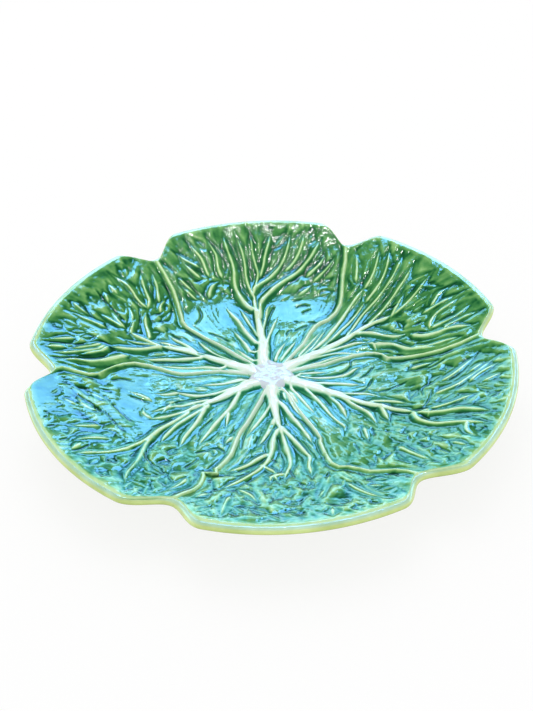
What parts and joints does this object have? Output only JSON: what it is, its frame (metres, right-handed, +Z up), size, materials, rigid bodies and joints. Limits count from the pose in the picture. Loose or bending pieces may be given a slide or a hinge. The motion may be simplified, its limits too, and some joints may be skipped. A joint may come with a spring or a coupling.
{
  "type": "leaf shaped plate",
  "caption": "Round glazed earthenware plate made as overlapping cabbage leaves in relief, with a notched rim, a shallow dish, raised veins and a plain foot ring.",
  "frame": {"origin": "middle of the flat face under the foot ring", "axes": "+Z up out of the dish, +Y towards the back leaf, +X to the right seen from the front leaf"},
  "size_m": [0.2656, 0.266, 0.0347],
  "materials": {
    "body_glaze": "gloss",
    "leaf_glaze": "gloss",
    "heart_glaze": "gloss",
    "bare_foot": "matte"
  },
  "bodies": {
    "root": {"plate_body": "body_glaze", "foot_ring": "bare_foot", "leaf_back_right": "leaf_glaze", "leaf_back": "leaf_glaze", "leaf_back_left": "leaf_glaze", "leaf_front_left": "leaf_glaze", "leaf_front": "leaf_glaze", "leaf_front_right": "leaf_glaze", "heart": "heart_glaze"}
  },
  "joints": []
}
